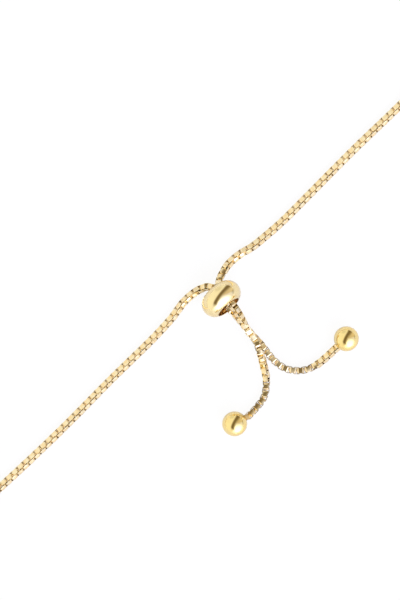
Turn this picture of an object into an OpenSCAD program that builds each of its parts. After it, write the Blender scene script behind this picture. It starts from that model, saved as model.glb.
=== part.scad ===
// Adjustable chain bracelet, laid flat: one box chain runs from ball to ball and passes
// twice through a round slider bead, so that it forms a wrist loop with two short tails.
// Millimetres, +Z up, origin on the resting surface under the middle of the whole bracelet.

/* [Chain] */
// Width of the box chain across its links
chain_w = 1; // [0.9:0.05:1.05]
// Width of the flat band that each link is bent from
band_w = 0.55; // [0.45:0.05:0.6]

/* [Slider bead] */
// Outer diameter of the slider bead
slider_d = 5.2; // [5:0.1:5.6]
// Length of the slider bead along its bore, over the round sides
slider_l = 2.9; // [2.8:0.1:3]
// Diameter of the slider bead's bore
slider_bore_d = 3.1; // [3.1:0.05:3.3]
// Angle by which the exit end of the bore is raised
slider_tilt = 14; // [12:1:16]
// Direction of the bore seen from above, from +X
slider_turn = -49; // [-51:1:-47]

/* [Grip] */
// Length of the soft ring that grips the two strands inside the bead
grip_l = 0.9; // [0.8:0.1:1]
// Clearance between the grip and the bore, and between the grip and the strands
grip_gap = 0.04; // [0.03:0.01:0.06]

/* [Ball ends] */
// Diameter of the two end balls
ball_d = 3; // [2.8:0.1:3.2]
// Diameter of the flat around the hole that the chain goes into
ball_flat_d = 1.5; // [1.4:0.05:1.6]
// Diameter of that hole
ball_hole_d = 1.26; // [1.24:0.02:1.3]
// Drop of the hole's direction below level, towards the chain
ball_drop = 22; // [20:1:24]

/* [Hidden] */
gold = "#e3bf6a";
silicone = "#d9cfc0";
round_fn = 96;

// Height of the middle of a strand that lies on the surface, and of one that lies on another
lying = chain_w / 2;
riding = lying + chain_w + 0.2;

// The slider is a ring of round section: radius of that section and of the circle it follows
slider_round_r = slider_l / 2;
slider_ring_r = slider_d / 2 - slider_round_r;
slider_h = slider_round_r + slider_ring_r * cos(slider_tilt);

// A place inside the slider: along its bore, across it and up from its middle
function in_slider(along, across, up) =
    let (level = along * cos(slider_tilt) - up * sin(slider_tilt))
    [level * cos(slider_turn) - across * sin(slider_turn),
     level * sin(slider_turn) + across * cos(slider_turn),
     slider_h + along * sin(slider_tilt) + up * cos(slider_tilt)];

// Where the strands lie in the bore, across and up: the right arm's strand is the upper one.
// They run straight through the grip and a little past both its ends.
upper_in_grip = [0.5, 0.5];
lower_in_grip = [-0.05, -0.57];
straight_to = grip_l / 2 + 0.2;

// Middle of each ball, and the direction seen from above in which its chain leaves
ball_left_at = [1.6, -15, ball_d / 2];
ball_left_turn = 29;
ball_right_at = [15, -4.8, ball_d / 2];
ball_right_turn = 223;

// A place on the axis of a ball's hole, at a distance from the middle of the ball
function from_ball(middle, turn, distance) =
    middle + distance * [cos(turn) * cos(ball_drop), sin(turn) * cos(ball_drop), -sin(ball_drop)];
ball_flat_at = sqrt(pow(ball_d / 2, 2) - pow(ball_flat_d / 2, 2));
chain_end_at = 0.45;
hole_end_at = 0.38;
past_ball = 2.1;

// Route of the strand of the right arm, from the far side of the loop through the slider to
// the left ball, in millimetres from the slider's middle
right_route = [
    [-33.2, 32.7, lying], [-26, 38.4, lying], [-18, 42.3, lying], [-9.5, 44.4, lying],
    [-0.8, 45, lying], [8, 43.7, lying], [15.5, 41.1, lying], [22, 37.5, lying],
    [24.6, 34.8, lying], [25.6, 31.3, lying], [24.95, 27.65, lying], [23.09, 24.91, lying],
    [20.92, 22.69, lying], [16.12, 18.08, lying], [11.28, 13.22, lying], [7.69, 9.61, lying],
    [5.36, 7.54, lying], [3.72, 6.23, lying], [2.43, 5.46, lying], [1.57, 4.81, lying],
    [0.83, 4.09, 0.6], [0.3, 3.31, 1], [-0.1, 2.6, 1.55], [-0.28, 1.93, 2.05], [-0.3, 1.48, 2.5],
    in_slider(-straight_to, upper_in_grip[0], upper_in_grip[1]),
    in_slider(straight_to, upper_in_grip[0], upper_in_grip[1]),
    in_slider(slider_l / 2, 0.5, 0.54),
    [1.74, -1.28, 3.42], [2.22, -2.1, 3], [2.73, -3.04, 2.4], [3.42, -4.08, 1.9],
    [4.1, -5, riding], [4.45, -5.8, 1.75], [4.68, -6.6, 1.6], [4.95, -7.4, 1],
    [5.15, -8.2, lying], [5.4, -9.4, lying], [5.4, -10.7, lying], [5.1, -11.9, lying],
    [4.3, -13, lying],
    from_ball(ball_left_at, ball_left_turn, past_ball),
    from_ball(ball_left_at, ball_left_turn, chain_end_at)
];

// Route of the strand of the left arm, from the same place through the slider to the right ball
left_route = [
    [-33.2, 32.7, lying], [-38.8, 26.2, lying], [-42.9, 19, lying], [-45.6, 11.3, lying],
    [-46.9, 3.2, lying], [-46.8, -5, lying], [-44.7, -13.4, lying], [-41.2, -21.2, lying],
    [-38.9, -24.3, lying], [-35.7, -26, lying], [-32, -26.1, lying], [-28.52, -24.27, lying],
    [-25.29, -21.51, lying], [-19.23, -15.77, lying], [-13.26, -9.74, lying], [-8.4, -5, lying],
    [-6.09, -2.5, lying], [-5.18, -1.29, lying], [-4.5, -0.4, lying], [-3.63, 0.41, lying],
    [-2.85, 0.96, lying], [-2.07, 1.32, 0.7], [-1.5, 1.43, 1], [-1, 1.3, 1.22],
    [-0.72, 0.95, 1.4],
    in_slider(-straight_to, lower_in_grip[0], lower_in_grip[1]),
    in_slider(straight_to, lower_in_grip[0], lower_in_grip[1]),
    in_slider(slider_l / 2, -0.05, -0.6),
    [1.45, -1.68, 2.15], [2.12, -2.42, 1.5], [2.86, -3.3, 0.85], [3.7, -4.4, lying],
    [5.22, -6.06, lying], [6.26, -7.33, lying], [7.54, -8.3, lying], [9, -8.64, lying],
    [10.32, -8.48, lying], [11.56, -7.88, lying], [12.67, -6.98, lying],
    from_ball(ball_right_at, ball_right_turn, past_ball),
    from_ball(ball_right_at, ball_right_turn, chain_end_at)
];

// Outline that the alternating links fill: two crossed bands, with eight corners
section = let (a = chain_w / 2, b = band_w / 2)
    [[a, b], [b, a], [-b, a], [-a, b], [-a, -b], [-b, -a], [b, -a], [a, -b]];
section_n = len(section);

function unit(v) = v / norm(v);

// Direction of a route at one of its points, where before stands ahead of the first point
function heading(route, i, before) =
    let (last = len(route) - 1)
    unit((i < last ? route[i + 1] : route[i]) - (i > 0 ? route[i - 1] : before));

// The corners of the outline, square to the route at one of its points
function ring(route, i, before) =
    let (ahead = heading(route, i, before),
         side = unit(cross(ahead, [0, 0, 1])),
         top = cross(side, ahead))
    [for (corner = section) route[i] + corner[0] * side + corner[1] * top];

function rings(route, before) =
    [for (i = [0:len(route) - 1]) each ring(route, i, before)];

// Triangles of the wall between ring i and the next, and the two flat ends
function wall_faces(i) =
    [for (j = [0:section_n - 1])
        let (k = (j + 1) % section_n, here = i * section_n, there = here + section_n)
        each [[here + j, there + k, here + k], [here + j, there + j, there + k]]];
function tube_faces(ring_count) = concat(
    [[for (j = [0:section_n - 1]) j]],
    [for (i = [0:ring_count - 2]) each wall_faces(i)],
    [[for (j = [section_n - 1:-1:0]) (ring_count - 1) * section_n + j]]);

left_points = rings(left_route, right_route[1]);
right_points = rings(right_route, left_route[1]);
all_points = concat(left_points, right_points);

// Middle of the whole bracelet seen from above, which the origin stands under
function middle_of(values) = (min(values) + max(values)) / 2;
middle = [for (k = [0:1]) middle_of([for (p = all_points) p[k]])];

module place() {
    translate([-middle[0], -middle[1], 0]) children();
}

module tube(points) {
    polyhedron(points = points, faces = tube_faces(len(points) / section_n));
}

// Strand from the far side of the loop over the left arm to the right ball
module chain_left() {
    color(gold) place() tube(left_points);
}

// Strand from the far side of the loop over the right arm to the left ball
module chain_right() {
    color(gold) place() tube(right_points);
}

// Puts what lies along +Z into the slider's place, with its +X across the bore
module in_slider_place() {
    place() translate([0, 0, slider_h]) rotate([0, 0, slider_turn]) rotate([0, 90 - slider_tilt, 0])
        rotate([0, 0, 90]) children();
}

module slider_bead() {
    color(gold) in_slider_place() difference() {
        rotate_extrude($fn = round_fn) intersection() {
            translate([slider_ring_r, 0]) circle(r = slider_round_r, $fn = round_fn);
            translate([0, -slider_l]) square([slider_d, 2 * slider_l]);
        }
        cylinder(d = slider_bore_d, h = 2 * slider_l, center = true, $fn = round_fn);
    }
}

// Soft ring between the bore and the two strands, with one slot for both
module slider_grip() {
    slot_r = norm([chain_w, band_w]) / 2 + grip_gap;
    apart = upper_in_grip - lower_in_grip;
    between = (upper_in_grip + lower_in_grip) / 2;
    color(silicone) in_slider_place() difference() {
        cylinder(d = slider_bore_d - 2 * grip_gap, h = grip_l, center = true, $fn = round_fn);
        for (at = [upper_in_grip, lower_in_grip])
            translate(at) cylinder(r = slot_r, h = 2 * grip_l, center = true, $fn = round_fn);
        translate(between) rotate([0, 0, atan2(apart[1], apart[0])])
            cube([norm(apart), 2 * slot_r, 2 * grip_l], center = true);
    }
}

// Ball with a flat and a blind hole on +Z, turned so that these face the chain
module ball(at, turn) {
    place() translate(at) rotate([0, 90 + ball_drop, turn]) difference() {
        sphere(d = ball_d, $fn = round_fn);
        translate([-ball_d, -ball_d, ball_flat_at]) cube([2 * ball_d, 2 * ball_d, ball_d]);
        translate([0, 0, hole_end_at]) cylinder(d = ball_hole_d, h = ball_d, $fn = round_fn);
    }
}

module ball_left() {
    color(gold) ball(ball_left_at, ball_left_turn);
}

module ball_right() {
    color(gold) ball(ball_right_at, ball_right_turn);
}

chain_left();
chain_right();
slider_bead();
slider_grip();
ball_left();
ball_right();
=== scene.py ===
import math

import bmesh
import bpy
from mathutils import Matrix, Vector


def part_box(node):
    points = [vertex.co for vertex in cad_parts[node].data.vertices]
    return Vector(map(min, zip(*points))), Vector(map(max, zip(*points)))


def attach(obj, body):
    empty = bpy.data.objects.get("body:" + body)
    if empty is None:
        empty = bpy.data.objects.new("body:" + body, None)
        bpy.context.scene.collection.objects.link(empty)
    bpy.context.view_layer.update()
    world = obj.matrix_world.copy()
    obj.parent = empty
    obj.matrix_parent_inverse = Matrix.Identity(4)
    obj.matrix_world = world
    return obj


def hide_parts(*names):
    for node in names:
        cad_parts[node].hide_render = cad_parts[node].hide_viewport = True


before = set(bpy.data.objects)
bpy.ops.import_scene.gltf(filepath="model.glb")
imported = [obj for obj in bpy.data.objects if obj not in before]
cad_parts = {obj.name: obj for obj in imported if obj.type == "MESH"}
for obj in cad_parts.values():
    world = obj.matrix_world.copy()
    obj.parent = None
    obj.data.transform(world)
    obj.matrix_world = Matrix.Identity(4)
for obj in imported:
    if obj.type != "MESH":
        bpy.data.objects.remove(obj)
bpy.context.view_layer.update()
scene = bpy.context.scene
scene.view_settings.view_transform = "Standard"
print("frame loaded")


# An output socket that plain Python expressions can work on
class Wire:
    def __init__(self, nodes, socket):
        self.nodes = nodes
        self.socket = socket

    def maths(self, operation, *values):
        return self.nodes.add("ShaderNodeMath", {"operation": operation}, dict(enumerate(values)))

    def __add__(self, other):
        return self.maths("ADD", self, other)

    def __radd__(self, other):
        return self.maths("ADD", other, self)

    def __sub__(self, other):
        return self.maths("SUBTRACT", self, other)

    def __rsub__(self, other):
        return self.maths("SUBTRACT", other, self)

    def __mul__(self, other):
        return self.maths("MULTIPLY", self, other)

    def __rmul__(self, other):
        return self.maths("MULTIPLY", other, self)

    def __mod__(self, other):
        return self.maths("MODULO", self, other)


# Adds nodes to a tree: the settings first, then the value or link of each socket
class Nodes:
    def __init__(self, tree):
        self.tree = tree

    def add(self, kind, settings=None, sockets=None, out=0):
        node = self.tree.nodes.new(kind)
        for name, value in (settings or {}).items():
            setattr(node, name, value)
        for name, value in (sockets or {}).items():
            if isinstance(value, Wire):
                self.tree.links.new(value.socket, node.inputs[name])
            else:
                node.inputs[name].default_value = value
        return Wire(self, node.outputs[out]) if node.outputs else None

    def mixColour(self, factor, first, second):
        return self.add("ShaderNodeMix", {"data_type": "RGBA"}, {0: factor, 6: first, 7: second}, out=2)

    def smoothStep(self, value, start, end):
        limits = {"Value": value, "From Min": start, "From Max": end}
        return self.add("ShaderNodeMapRange", {"interpolation_type": "SMOOTHSTEP"}, limits)


# Camera straight above the bracelet, as in the photograph
view = dict(
    middle=(0.0081, -0.00961, 0.001),  # what the middle of the frame looks at
    height=0.6,                        # of the camera above that point
    span=0.072,                        # what the long side of the frame takes in
    sensor=36,                         # long side of the sensor, in millimetres
    clipping=(0.01, 20),
)

cameraData = bpy.data.cameras.new("camera")
cameraData.sensor_width = view["sensor"]
cameraData.lens = cameraData.sensor_width * view["height"] / view["span"]
cameraData.clip_start, cameraData.clip_end = view["clipping"]
camera = bpy.data.objects.new("camera", cameraData)
camera.location = Vector(view["middle"]) + Vector((0, 0, view["height"]))
scene.collection.objects.link(camera)
scene.camera = camera
print("camera placed")


# A white light tent, seen only in the metal: a dark gap for the camera's arm runs over the top,
# a large soft box glows on its right side, and the wall beyond the box is dimmer
tent = dict(
    wall=0.94,
    armDirection=math.radians(66),  # seen from above; places below are sines measured square to it
    gapLeft=(-0.51, -0.27),         # where the gap begins and is full, to the left of the arm's line
    gapRight=(-0.09, 0.35),         # where it starts to fade and is gone
    gapNear=(-0.98, -0.66),         # the same along the arm, at its near end
    gapBow=0.18,                    # how far the gap bends to the right towards both its ends
    gapHook=0.15,                   # and how much further at its near end
    hookEdge=(-0.5, -1),            # where that begins along the arm, and where it is full
    gapShade=(0.21, 0.165, 0.095),
    boxTurn=math.radians(12),       # direction of the edge between the soft box and the dimmer wall
    boxEdge=(-0.1, 0.14),           # how soft that edge is
    boxLow=(-0.05, 0.15),           # the box's lower edge, upwards
    boxGlow=0.92,
    boxTint=(0.97, 1, 1.3),
    dimWall=0.79,
    dimTint=(1, 0.88, 0.74),
    dimEdge=(0.04, 0.24),           # where the box and the dimmer wall begin, right of the arm's line
    patches=[                       # direction, angle from overhead, radius, softness, change
        (-56, 60, 31, 18, 1.3),
        (-75, 84, 26, 16, 0.45),
        (40, 44, 20, 18, -0.1),
        (12, 88, 10, 9, -0.3),
        (155, 62, 30, 22, 0.05),
        (205, 76, 28, 20, 0.08),
        (112, 74, 13, 10, -0.16),
    ],
)


# The way to a place on the tent, from angles in degrees
def direction(turn, fromOverhead):
    turn, fromOverhead = math.radians(turn), math.radians(fromOverhead)
    level = math.sin(fromOverhead)
    return (math.cos(turn) * level, math.sin(turn) * level, math.cos(fromOverhead))


def makeTent(tent):
    world = bpy.data.worlds.new("lightTent")
    scene.world = world
    world.use_nodes = True
    world.node_tree.nodes.clear()
    nodes = Nodes(world.node_tree)
    towards = nodes.add("ShaderNodeTexCoord", out="Generated")

    def along(way):
        both = {0: towards, 1: way}
        return nodes.add("ShaderNodeVectorMath", {"operation": "DOT_PRODUCT"}, both, "Value")

    def within(value, edges):
        return nodes.smoothStep(value, *edges)

    arm, box = tent["armDirection"], tent["boxTurn"]
    alongArm = along((math.cos(arm), math.sin(arm), 0))
    rightOfArm = along((math.sin(arm), -math.cos(arm), 0))
    pastBox = within(along((-math.sin(box), math.cos(box), 0)), tent["boxEdge"])
    onRight = within(rightOfArm, tent["dimEdge"])
    inBox = onRight * (1 - pastBox) * within(along((0, 0, 1)), tent["boxLow"])
    glow = tent["wall"] + inBox * (tent["boxGlow"] - tent["wall"])
    glow = glow + onRight * pastBox * (tent["dimWall"] - tent["wall"])
    for turn, fromOverhead, radius, softness, change in tent["patches"]:
        edges = [math.cos(math.radians(radius + side * softness)) for side in (1, -1)]
        glow = glow + change * within(along(direction(turn, fromOverhead)), edges)
    acrossGap = rightOfArm - tent["gapBow"] * alongArm * alongArm
    acrossGap = acrossGap - tent["gapHook"] * within(alongArm, tent["hookEdge"])
    inGap = within(acrossGap, tent["gapLeft"]) * (1 - within(acrossGap, tent["gapRight"]))
    inGap = inGap * within(alongArm, tent["gapNear"])
    tint = nodes.mixColour(onRight * pastBox, (1, 1, 1, 1), (*tent["dimTint"], 1))
    tint = nodes.mixColour(inBox, tint, (*tent["boxTint"], 1))
    light = nodes.add("ShaderNodeVectorMath", {"operation": "SCALE"}, {0: tint, "Scale": glow})
    colour = nodes.mixColour(inGap, light, (*tent["gapShade"], 1))
    background = nodes.add("ShaderNodeBackground", {}, {"Color": colour})
    nodes.add("ShaderNodeOutputWorld", {}, {"Surface": background})


# The camera sees a table and a backdrop of a clean white, and the metal mirrors another table,
# which takes the bracelet's shadow
table = dict(
    size=3,                          # from its middle to an edge
    white=0.97,
    shadowed=0.12,                   # share of that white that a shadow can take
    mirrored=0.86,                   # colour of the mirrored table
    mirroredGlow=0.12,
    mirroredTint=(0.9, 0.95, 1.15),  # of its glow
    gloss=0.15,
    roughness=0.3,
    lower=0.00001,                   # the mirrored table lies this much lower
    dome=8,                          # radius of the backdrop
    domeSteps=4,
)


def stageMesh(name, mesh, colour, glow, tint, gloss, toCamera):
    thing = bpy.data.objects.new(name, mesh)
    scene.collection.objects.link(thing)
    paint = bpy.data.materials.new(name)
    paint.use_nodes = True
    shader = paint.node_tree.nodes["Principled BSDF"]
    shader.inputs["Base Color"].default_value = (colour, colour, colour, 1)
    shader.inputs["Roughness"].default_value = table["roughness"]
    shader.inputs["Specular IOR Level"].default_value = gloss
    shader.inputs["Emission Color"].default_value = (*tint, 1)
    shader.inputs["Emission Strength"].default_value = glow
    mesh.materials.append(paint)
    thing.visible_camera = toCamera
    thing.visible_diffuse = not toCamera
    thing.visible_glossy = not toCamera
    thing.visible_transmission = not toCamera
    thing.visible_shadow = not toCamera


def makeTable(table):
    half = table["size"]
    corners = [(-half, -half), (half, -half), (half, half), (-half, half)]
    clean = table["white"] - table["shadowed"] / 2
    for name, level, colour, glow, tint, gloss, toCamera in [
            ("tableSeen", 0, table["shadowed"], clean, (1, 1, 1), 0, True),
            ("tableMirrored", -table["lower"], table["mirrored"], table["mirroredGlow"],
             table["mirroredTint"], table["gloss"], False)]:
        mesh = bpy.data.meshes.new(name)
        mesh.from_pydata([(x, y, level) for x, y in corners], [], [(0, 1, 2, 3)])
        stageMesh(name, mesh, colour, glow, tint, gloss, toCamera)
    sphere = bmesh.new()
    bmesh.ops.create_icosphere(sphere, subdivisions=table["domeSteps"], radius=table["dome"])
    dome = bpy.data.meshes.new("backdrop")
    sphere.to_mesh(dome)
    sphere.free()
    stageMesh("backdrop", dome, 0, 1, (1, 1, 1), 0, True)


makeTent(tent)
makeTable(table)
print("light tent and table made")


def newMaterial(name):
    material = bpy.data.materials.new(name)
    material.use_nodes = True
    material.node_tree.nodes.clear()
    return material, Nodes(material.node_tree)


def noise(nodes, place, scale, detail=2):
    return nodes.add("ShaderNodeTexNoise", {}, {"Vector": place, "Scale": scale, "Detail": detail})


# Gold plate over polished metal: two close tones of gold, faint clouding and fine polishing marks,
# and painted shade: darker where a mesh is marked as a recess, standing in for the shade there
def makeGold(name, gold, look):
    material, nodes = newMaterial(name)
    place = nodes.add("ShaderNodeTexCoord", out="Object")
    patches = nodes.smoothStep(noise(nodes, place, gold["patchScale"]), *gold["patchEdges"])
    colour = nodes.mixColour(patches, (*look["colour"], 1), (*look["deepColour"], 1))
    # painted shade: a darker colour mixed in by each face's mark, for the bore, the balls' holes and the
    # links' insides
    recessShade = nodes.add("ShaderNodeAttribute", {"attribute_name": "recessShade"}, out="Fac")
    colour = nodes.mixColour(recessShade, colour, (*look["recessShadeColour"], 1))
    clouds = nodes.smoothStep(noise(nodes, place, gold["cloudScale"], detail=4), *gold["cloudEdges"])
    roughness = gold["roughness"] + clouds * gold["clouding"]
    brushed = nodes.add("ShaderNodeMapping", {}, {"Vector": place, "Scale": gold["markStretch"]})
    marks = noise(nodes, brushed, gold["markScale"], detail=3)
    bump = nodes.add("ShaderNodeBump", {}, {
        "Strength": gold["markStrength"], "Distance": gold["markDepth"], "Height": marks})
    shader = nodes.add("ShaderNodeBsdfPrincipled", {}, {
        "Base Color": colour, "Roughness": roughness, "Metallic": 1.0, "Normal": bump})
    nodes.add("ShaderNodeOutputMaterial", {}, {"Surface": shader})
    return material


# Milky silicone with a moulded skin, for the soft ring
def makeSilicone(name, silicone):
    material, nodes = newMaterial(name)
    place = nodes.add("ShaderNodeTexCoord", out="Object")
    milk = nodes.smoothStep(noise(nodes, place, silicone["milkScale"]), *silicone["milkEdges"])
    colour = nodes.mixColour(milk, (*silicone["colour"], 1), (*silicone["milkColour"], 1))
    skin = noise(nodes, place, silicone["skinScale"], detail=3)
    bump = nodes.add("ShaderNodeBump", {}, {
        "Strength": silicone["skinStrength"], "Distance": silicone["skinDepth"], "Height": skin})
    roughness = silicone["roughness"] + silicone["skinRoughness"] * skin
    shader = nodes.add("ShaderNodeBsdfPrincipled", {}, {
        "Base Color": colour, "Roughness": roughness, "Normal": bump})
    nodes.add("ShaderNodeOutputMaterial", {}, {"Surface": shader})
    return material


polishedGold = dict(
    patchScale=500,         # of the two tones of gold
    patchEdges=(0.35, 0.65),
    roughness=0.06,
    clouding=0.05,          # rise of the roughness in the clouds
    cloudScale=1500,
    cloudEdges=(0.4, 0.7),
    markScale=2500,         # of the polishing marks
    markStretch=(1, 6, 1),
    markStrength=0.15,
    markDepth=0.000004,
)
linkGold = dict(
    patchScale=2200,
    patchEdges=(0.35, 0.65),
    roughness=0.1,
    clouding=0.1,
    cloudScale=2500,
    cloudEdges=(0.4, 0.7),
    markScale=5000,
    markStretch=(1, 1, 1),
    markStrength=0.2,
    markDepth=0.000005,
)
# The last colour of each look is painted shade, for the bead's bore, the balls' holes and the links' inner
# faces and ends
beadLook = dict(colour=(1.0, 0.83, 0.43), deepColour=(1.0, 0.8, 0.39), recessShadeColour=(0.7, 0.46, 0.2))
ballLook = dict(colour=(1.0, 0.79, 0.33), deepColour=(1.0, 0.76, 0.28), recessShadeColour=(0.5, 0.25, 0.1))
chainLook = dict(colour=(1.0, 0.85, 0.52), deepColour=(0.98, 0.75, 0.39), recessShadeColour=(0.2, 0.12, 0.05))
silicone = dict(
    colour=(0.62, 0.56, 0.48),
    milkColour=(0.75, 0.7, 0.62),
    milkScale=900,
    milkEdges=(0.3, 0.7),
    roughness=0.4,
    skinRoughness=0.15,
    skinScale=3000,
    skinStrength=0.3,
    skinDepth=0.00001,
)

beadGold = makeGold("beadGold", polishedGold, beadLook)
ballGold = makeGold("ballGold", polishedGold, ballLook)
chainGold = makeGold("chainGold", linkGold, chainLook)
gripSilicone = makeSilicone("gripSilicone", silicone)
print("materials made")


onAxis = 1e-9  # a profile point with a smaller radius is a pole


# Round pieces are turned from a profile of (radius, height) about the height's axis, and the
# part of the profile inside the bore is marked as a recess, to take painted shade
def turnProfile(name, profile, bore, segments, placing, material):
    shape = bmesh.new()
    recessShade = shape.faces.layers.float.new("recessShade")
    rows = []
    for radius, height in profile:
        if radius < onAxis:
            rows.append([shape.verts.new((0, 0, height))] * segments)
            continue
        angles = [2 * math.pi * i / segments for i in range(segments)]
        rows.append([shape.verts.new((radius * math.cos(a), radius * math.sin(a), height)) for a in angles])
    closed = profile[0][0] > onAxis
    for place, row, following in zip(profile, rows, rows[1:] + rows[:1] if closed else rows[1:]):
        for i in range(segments):
            k = (i + 1) % segments
            corners = [row[i], row[k], following[k], following[i]]
            face = shape.faces.new(list(dict.fromkeys(corners)))
            # faces inside the bore or hole take the full painted shade
            face[recessShade] = 1 if place in bore else 0
    shape.transform(placing)
    bmesh.ops.recalc_face_normals(shape, faces=shape.faces)
    mesh = bpy.data.meshes.new(name)
    shape.to_mesh(mesh)
    shape.free()
    mesh.shade_smooth()
    mesh.materials.append(material)
    piece = bpy.data.objects.new(name, mesh)
    scene.collection.objects.link(piece)
    return piece


def arc(middle, radius, start, end, steps):
    angles = [start + (end - start) * i / steps for i in range(steps + 1)]
    return [(middle[0] + radius * math.cos(a), middle[1] + radius * math.sin(a)) for a in angles]


# A corner between two profile points, rounded by a short curve
def roundedCorner(before, corner, after, steps=5):
    points = []
    for i in range(1, steps):
        t = i / steps
        points.append(tuple((1 - t) ** 2 * b + 2 * t * (1 - t) * c + t ** 2 * a
                            for b, c, a in zip(before, corner, after)))
    return points


# Slider bead: a ring of round section, bored for the two strands
slider = dict(
    outerRadius=0.0026,
    tubeRadius=0.00145,
    boreRadius=0.00155,
    tilt=math.radians(14),   # of the exit end, upwards
    turn=math.radians(-49),  # of the bore, seen from above
    rimRound=0.00006,
    segments=128,
    arcSteps=56,
    wallSteps=12,
)
low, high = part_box("slider_bead")
sliderMiddle = (low + high) / 2
sliderPlacing = (Matrix.Translation(sliderMiddle)
                 @ Matrix.Rotation(slider["turn"], 4, "Z")
                 @ Matrix.Rotation(math.pi / 2 - slider["tilt"], 4, "Y")
                 @ Matrix.Rotation(math.pi / 2, 4, "Z"))


def makeBead(slider):
    ringRadius = slider["outerRadius"] - slider["tubeRadius"]
    cut = math.acos((slider["boreRadius"] - ringRadius) / slider["tubeRadius"])
    rim = slider["tubeRadius"] * math.sin(cut)
    stop = cut - slider["rimRound"] / slider["tubeRadius"]
    outside = arc((ringRadius, 0), slider["tubeRadius"], -stop, stop, slider["arcSteps"])
    wallTop = (slider["boreRadius"], rim - slider["rimRound"])
    wallLow = (slider["boreRadius"], -rim + slider["rimRound"])
    steps = slider["wallSteps"]
    wall = [(slider["boreRadius"], wallTop[1] * (1 - 2 * i / steps)) for i in range(steps + 1)]
    upperRim = roundedCorner(outside[-1], (slider["boreRadius"], rim), wallTop)
    lowerRim = roundedCorner(wallLow, (slider["boreRadius"], -rim), outside[0])
    profile = outside + upperRim + wall + lowerRim
    return turnProfile("sliderBead", profile, wall, slider["segments"], sliderPlacing, beadGold)


bead = makeBead(slider)
print("slider bead turned")


# Ball ends: each with a flat and a blind hole that the last links go into
ball = dict(
    radius=0.0015,
    flatRadius=0.00075,
    holeRadius=0.00063,
    holeEnd=0.00038,        # from the middle of the ball
    drop=math.radians(22),  # of the hole's direction below level
    edgeRound=0.00004,
    segments=96,
    arcSteps=56,
    wallSteps=6,
    leftMiddle=(0.0016, -0.015, 0.0015),
    leftTurn=math.radians(29),
    rightMiddle=(0.015, -0.0048, 0.0015),
    rightTurn=math.radians(223),
)
underBead = Vector((sliderMiddle.x, sliderMiddle.y, 0))  # places below are measured from here


def makeBall(name, middle, turn):
    flatAt = math.sqrt(ball["radius"] ** 2 - ball["flatRadius"] ** 2)
    stop = math.asin(flatAt / ball["radius"]) - ball["edgeRound"] / ball["radius"]
    outside = [(0, -ball["radius"])] + arc((0, 0), ball["radius"], -math.pi / 2, stop, ball["arcSteps"])[1:]
    onFlat = (ball["flatRadius"] - ball["edgeRound"], flatAt)
    beforeHole = (ball["holeRadius"] + ball["edgeRound"], flatAt)
    inHole = (ball["holeRadius"], flatAt - ball["edgeRound"])
    steps, depth = ball["wallSteps"], ball["holeEnd"] - inHole[1]
    wall = [(ball["holeRadius"], inHole[1] + depth * i / steps) for i in range(steps + 1)]
    profile = outside + roundedCorner(outside[-1], (ball["flatRadius"], flatAt), onFlat) + [onFlat]
    profile += [beforeHole] + roundedCorner(beforeHole, (ball["holeRadius"], flatAt), inHole) + wall
    profile += [(0, ball["holeEnd"])]
    placing = (Matrix.Translation(underBead + Vector(middle)) @ Matrix.Rotation(turn, 4, "Z")
               @ Matrix.Rotation(math.pi / 2 + ball["drop"], 4, "Y"))
    return turnProfile(name, profile, wall, ball["segments"], placing, ballGold)


leftBall = makeBall("leftBall", ball["leftMiddle"], ball["leftTurn"])
rightBall = makeBall("rightBall", ball["rightMiddle"], ball["rightTurn"])
print("ball ends turned")


# Box chain: folded links of a flat strip
link = dict(
    pitch=0.0004672,     # from one link to the next
    width=0.00088,
    endStrip=0.000216,   # thickness of the strip across the link's two ends
    sideStrip=0.00009,   # and along its sides
    band=0.00061,        # width of the strip
    slack=0.00001,       # play between two links
    corner=0.00023,      # outer radius of a link's corners
    innerCorner=0.00006,
    crown=0.00004,       # how far the strip's face rises in its middle
    # painted shade: how much of the darker colour each face takes, for the shade inside a link and where
    # links meet
    recessShade=(0, 0, 0.1, 0.6, 0.1),  # of the outer face's two halves, an edge, the inner face, an edge
    grooveShade=0.05,         # of the outer face where it meets the next link in the row
    looseTurn=math.radians(4),
    looseLean=math.radians(2),
    seed=7,
)
chain = dict(
    lying=0.0005,         # height of the chain's middle where it lies on the table
    riding=0.0017,        # and where it lies on another strand
    straightTo=0.00065,   # half length of its straight run inside the bead
    upperInGrip=(0.0005, 0.0005),      # the strands' places in the bore: across it and up
    lowerInGrip=(-0.00005, -0.00057),
    endInBall=0.00045,    # end of the last link, from the middle of the right ball
    startInBall=0.00076,  # the same for the first link, in the left ball
    pastBall=0.0021,      # where the chain is in line with a ball's hole, from the ball's middle
    stepsPerPoint=40,
)


# A place inside the bead: along its bore, across it and up from its middle
def inSlider(along, across, up):
    tilt, turn = slider["tilt"], slider["turn"]
    level = along * math.cos(tilt) - up * math.sin(tilt)
    return (level * math.cos(turn) - across * math.sin(turn),
            level * math.sin(turn) + across * math.cos(turn),
            sliderMiddle.z + along * math.sin(tilt) + up * math.cos(tilt))


# A place on the axis of a ball's hole, at a distance from the middle of the ball
def fromBall(middle, turn, distance):
    drop = ball["drop"]
    way = Vector((math.cos(turn) * math.cos(drop), math.sin(turn) * math.cos(drop), -math.sin(drop)))
    return tuple(Vector(middle) + distance * way)


lying, riding, straightTo = chain["lying"], chain["riding"], chain["straightTo"]
linkLength = link["pitch"] + 2 * link["endStrip"] + link["slack"]
firstLink, lastLink = chain["startInBall"] + linkLength / 2, chain["endInBall"] + linkLength / 2

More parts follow.
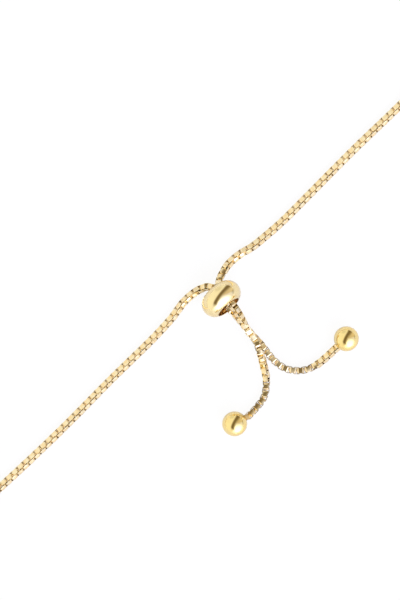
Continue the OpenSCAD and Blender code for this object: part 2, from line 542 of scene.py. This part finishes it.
# Strand of the right arm: from the far side of the loop through the bead to the left ball
rightRoute = [
    (-0.0332, 0.0327, lying), (-0.026, 0.0384, lying), (-0.018, 0.0423, lying),
    (-0.0095, 0.0444, lying), (-0.0008, 0.045, lying), (0.008, 0.0437, lying),
    (0.0155, 0.0411, lying), (0.022, 0.0375, lying), (0.0246, 0.0348, lying),
    (0.0256, 0.0313, lying), (0.02495, 0.02765, lying), (0.02309, 0.02491, lying),
    (0.02092, 0.02269, lying), (0.01612, 0.01808, lying), (0.01128, 0.01322, lying),
    (0.00769, 0.00961, lying), (0.00536, 0.00754, lying), (0.00372, 0.00623, lying),
    (0.00243, 0.00546, lying), (0.00157, 0.00481, lying), (0.00083, 0.00409, 0.0006),
    (0.0003, 0.00331, 0.001), (-0.0001, 0.0026, 0.00155),
    (-0.00028, 0.00193, 0.00205), (-0.0003, 0.00148, 0.0025),
    inSlider(-straightTo, *chain["upperInGrip"]),
    inSlider(straightTo, *chain["upperInGrip"]),
    inSlider(slider["tubeRadius"], 0.0005, 0.00054),
    (0.00174, -0.00128, 0.00342), (0.00222, -0.0021, 0.003), (0.00273, -0.00304, 0.0024),
    (0.00342, -0.00408, 0.0019), (0.0041, -0.005, riding), (0.00445, -0.0058, 0.00175),
    (0.00468, -0.0066, 0.0016), (0.00495, -0.0074, 0.001), (0.00515, -0.0082, lying),
    (0.0054, -0.0094, lying), (0.0054, -0.0107, lying), (0.0051, -0.0119, lying), (0.0043, -0.013, lying),
    fromBall(ball["leftMiddle"], ball["leftTurn"], chain["pastBall"]),
    fromBall(ball["leftMiddle"], ball["leftTurn"], firstLink),
]

# Strand of the left arm: from the same place through the bead to the right ball
leftRoute = [
    (-0.0332, 0.0327, lying), (-0.0388, 0.0262, lying), (-0.0429, 0.019, lying),
    (-0.0456, 0.0113, lying), (-0.0469, 0.0032, lying), (-0.0468, -0.005, lying),
    (-0.0447, -0.0134, lying), (-0.0412, -0.0212, lying), (-0.0389, -0.0243, lying),
    (-0.0357, -0.026, lying), (-0.032, -0.0261, lying), (-0.02852, -0.02427, lying),
    (-0.02529, -0.02151, lying), (-0.01923, -0.01577, lying), (-0.01326, -0.00974, lying),
    (-0.0084, -0.005, lying), (-0.00609, -0.0025, lying), (-0.00518, -0.00129, lying),
    (-0.0045, -0.0004, lying), (-0.00363, 0.00041, lying), (-0.00285, 0.00096, lying),
    (-0.00207, 0.00132, 0.0007), (-0.0015, 0.00143, 0.001), (-0.001, 0.0013, 0.00122),
    (-0.00072, 0.00095, 0.0014),
    inSlider(-straightTo, *chain["lowerInGrip"]),
    inSlider(straightTo, *chain["lowerInGrip"]),
    inSlider(slider["tubeRadius"], -0.00005, -0.0006),
    (0.00145, -0.00168, 0.00215), (0.00212, -0.00242, 0.0015), (0.00286, -0.0033, 0.00085),
    (0.0037, -0.0044, lying), (0.00522, -0.00606, lying), (0.00626, -0.00733, lying),
    (0.00754, -0.0083, lying), (0.009, -0.00864, lying), (0.01032, -0.00848, lying),
    (0.01156, -0.00788, lying), (0.01267, -0.00698, lying),
    fromBall(ball["rightMiddle"], ball["rightTurn"], chain["pastBall"]),
    fromBall(ball["rightMiddle"], ball["rightTurn"], lastLink),
]

# How far each strand is rolled about its own line, in degrees, by its distance past the bead's
# middle in millimetres
rollKeys = dict(
    right=[(-9, -33), (-6.5, -46), (-4.6, -36), (-3.6, -6), (-2, -8), (0.8, -64),
           (3.6, -50), (5.4, -6), (8.5, -4), (9.5, -22), (12, -25), (13.2, -4)],
    left=[(-9, -33), (-6.5, -46), (-4.4, -41), (-3.2, -22), (1, 0), (3.5, -15),
          (7.3, -30), (8.8, -3), (14.7, 0), (16, -28)],
)
toMillimetres = 1000


# Smooth line through the route's points, which dips below a lying chain only into a ball
def smoothLine(points, steps):
    places = [Vector(p) for p in points]
    places = [2 * places[0] - places[1]] + places + [2 * places[-1] - places[-2]]
    line = []
    for a, b, c, d in zip(places, places[1:], places[2:], places[3:]):
        for i in range(steps):
            t = i / steps
            line.append(0.5 * (2 * b + (c - a) * t + (2 * a - 5 * b + 4 * c - d) * t ** 2
                               + (3 * b - a - 3 * c + d) * t ** 3))
    line.append(places[-2])
    for place in line:
        place.z = max(place.z, min(lying, line[-1].z))
    return line


# Value at a distance, easing from key to key
def interpolate(keys, at):
    if at <= keys[0][0]:
        return keys[0][1]
    for (start, first), (end, second) in zip(keys, keys[1:]):
        if at <= end:
            t = (at - start) / (end - start)
            return first + (second - first) * t * t * (3 - 2 * t)
    return keys[-1][1]


# The line with its roll at each point, measured from the point nearest the bead's middle
def rolledLine(route, keys):
    line = smoothLine(route, chain["stepsPerPoint"])
    beadAt = Vector((0, 0, sliderMiddle.z))
    inside = min(range(len(line)), key=lambda i: (line[i] - beadAt).length)
    run = [0]
    for place, following in zip(line, line[1:]):
        run.append(run[-1] + (following - place).length)
    rolls = [interpolate(keys, (r - run[inside]) * toMillimetres) for r in run]
    return line, rolls


# One path from the left ball through the bead, around the loop and through the bead again
def makeChainPath():
    rightLine, rightRolls = rolledLine(rightRoute, rollKeys["right"])
    leftLine, leftRolls = rolledLine(leftRoute, rollKeys["left"])
    line = rightLine[::-1] + leftLine[1:]
    rolls = rightRolls[::-1] + leftRolls[1:]
    data = bpy.data.curves.new("chainPath", "CURVE")
    data.dimensions = "3D"
    data.twist_mode = "Z_UP"
    spline = data.splines.new("POLY")
    spline.points.add(len(line) - 1)
    for point, place, roll in zip(spline.points, line, rolls):
        point.co = (*(place + underBead), 1)
        point.tilt = math.radians(roll)
    path = bpy.data.objects.new("chainPath", data)
    scene.collection.objects.link(path)
    return path


# One link: a strip bent into a closed square with round corners, open along z, with the chain
# running along x. How much painted shade, as a darker colour, a face takes is kept in its recess value.
def makeLink(link):
    def outline(inX, inY, radius):
        points = []
        for quarter, (sx, sy) in enumerate([(1, 1), (-1, 1), (-1, -1), (1, -1)]):
            for part in range(3):
                angle = math.pi / 2 * (quarter + part / 2)
                points.append((sx * (inX - radius) + radius * math.cos(angle),
                               sy * (inY - radius) + radius * math.sin(angle)))
        return points

    halfLength, halfWidth, half = linkLength / 2, link["width"] / 2, link["band"] / 2
    lowered = link["crown"]
    edge = outline(halfLength - lowered, halfWidth - lowered, link["corner"] - lowered)
    crest = outline(halfLength, halfWidth, link["corner"])
    inside = outline(halfLength - link["endStrip"], halfWidth - link["sideStrip"], link["innerCorner"])
    shape = bmesh.new()
    recessShade = shape.faces.layers.float.new("recessShade")
    rings = []
    for points, height in [(edge, -half), (crest, 0), (edge, half), (inside, half), (inside, -half)]:
        rings.append([shape.verts.new((x, y, height)) for x, y in points])
    for j, (ring, following) in enumerate(zip(rings, rings[1:] + rings[:1])):
        for i in range(len(ring)):
            k = (i + 1) % len(ring)
            face = shape.faces.new((ring[i], ring[k], following[k], following[i]))
            atEnd = i % 6 in (0, 4, 5)  # one of the link's two ends or the corner parts beside it
            # painted shade on the inner faces, and at the ends where the next link meets this one
            face[recessShade] = link["grooveShade"] if j < 2 and atEnd else link["recessShade"][j]
            if j != 1:
                shape.edges.get((ring[i], ring[k])).smooth = False  # along the band, all but the crown
            if i % 3 != 1:
                shape.edges.get((ring[i], following[i])).smooth = False  # where a corner's curve ends
    bmesh.ops.recalc_face_normals(shape, faces=shape.faces)
    mesh = bpy.data.meshes.new("link")
    shape.to_mesh(mesh)
    shape.free()
    mesh.polygons.foreach_set("use_smooth", [True] * len(mesh.polygons))
    piece = bpy.data.objects.new("link", mesh)
    scene.collection.objects.link(piece)
    return piece


# Links set along the path, each turned a quarter from the one before and a little loose
def makeLinkTree():
    tree = bpy.data.node_groups.new("linksAlongPath", "GeometryNodeTree")
    sockets = {}
    for name, kind in [("Path", "Object"), ("Link", "Object"), ("Pitch", "Float"), ("Loose Turn", "Float"),
                       ("Loose Lean", "Float"), ("Seed", "Int"), ("Metal", "Material")]:
        sockets[name] = tree.interface.new_socket(name, in_out="INPUT", socket_type="NodeSocket" + kind)
    tree.interface.new_socket("Chain", in_out="OUTPUT", socket_type="NodeSocketGeometry")
    nodes = Nodes(tree)

    def given(name):
        return nodes.add("NodeGroupInput", out=name)

    path = nodes.add("GeometryNodeObjectInfo", {}, {"Object": given("Path")}, "Geometry")
    spots = {"Curve": path, "Length": given("Pitch")}
    points = nodes.add("GeometryNodeCurveToPoints", {"mode": "LENGTH"}, spots, "Points")
    tangent = Wire(nodes, points.socket.node.outputs["Tangent"])
    normal = Wire(nodes, points.socket.node.outputs["Normal"])
    facing = nodes.add("FunctionNodeAxesToRotation", {"primary_axis": "X", "secondary_axis": "Z"},
                       {"Primary Axis": tangent, "Secondary Axis": normal})
    quarter = (nodes.add("GeometryNodeInputIndex") + 1) % 2 * (math.pi / 2)
    loose = nodes.add("ShaderNodeCombineXYZ", {}, {
        "X": given("Loose Turn"), "Y": given("Loose Lean"), "Z": given("Loose Lean")})
    swing = nodes.add("FunctionNodeRandomValue", {"data_type": "FLOAT_VECTOR"},
                      {0: (-1, -1, -1), 1: (1, 1, 1), "Seed": given("Seed")})
    swing = nodes.add("ShaderNodeVectorMath", {"operation": "MULTIPLY"}, {0: swing, 1: loose})
    turned = nodes.add("ShaderNodeVectorMath", {"operation": "ADD"}, {
        0: swing, 1: nodes.add("ShaderNodeCombineXYZ", {}, {"X": quarter})})
    turned = nodes.add("FunctionNodeEulerToRotation", {}, {"Euler": turned})
    rotation = nodes.add("FunctionNodeRotateRotation", {"rotation_space": "LOCAL"},
                         {"Rotation": facing, "Rotate By": turned})
    instance = {"Object": given("Link"), "As Instance": True}
    shape = nodes.add("GeometryNodeObjectInfo", {}, instance, "Geometry")
    links = nodes.add("GeometryNodeInstanceOnPoints", {}, {
        "Points": points, "Instance": shape, "Rotation": rotation})
    solid = nodes.add("GeometryNodeRealizeInstances", {}, {"Geometry": links})
    dressed = nodes.add("GeometryNodeSetMaterial", {}, {"Geometry": solid, "Material": given("Metal")})
    nodes.add("NodeGroupOutput", {}, {"Chain": dressed})
    return tree, sockets


def makeChain():
    path, oneLink = makeChainPath(), makeLink(link)
    tree, sockets = makeLinkTree()
    holder = bpy.data.objects.new("boxChain", bpy.data.meshes.new("boxChain"))
    scene.collection.objects.link(holder)
    modifier = holder.modifiers.new("links", "NODES")
    modifier.node_group = tree
    values = {"Path": path, "Link": oneLink, "Pitch": link["pitch"], "Loose Turn": link["looseTurn"],
              "Loose Lean": link["looseLean"], "Seed": link["seed"], "Metal": chainGold}
    for name, value in values.items():
        modifier[sockets[name].identifier] = value
    mesh = bpy.data.meshes.new_from_object(holder.evaluated_get(bpy.context.evaluated_depsgraph_get()))
    holder.modifiers.remove(modifier)
    holder.data = mesh
    for helper in (path, oneLink):
        bpy.data.objects.remove(helper)
    print("box chain:", len(mesh.polygons), "faces")
    return holder


boxChain = makeChain()
print("chain linked")


# The soft ring inside the bead keeps its shape and gets its finish
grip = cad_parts["slider_grip"]
grip.data.materials.clear()
grip.data.materials.append(gripSilicone)

for piece, slot, cadNodes in [(boxChain, "chain_gold", ["chain_left", "chain_right"]),
                              (bead, "bead_gold", ["slider_bead"]),
                              (leftBall, "ball_gold", ["ball_left"]),
                              (rightBall, "ball_gold", ["ball_right"])]:
    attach(piece, "root")
    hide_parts(*cadNodes)
print("pieces joined to the frame")
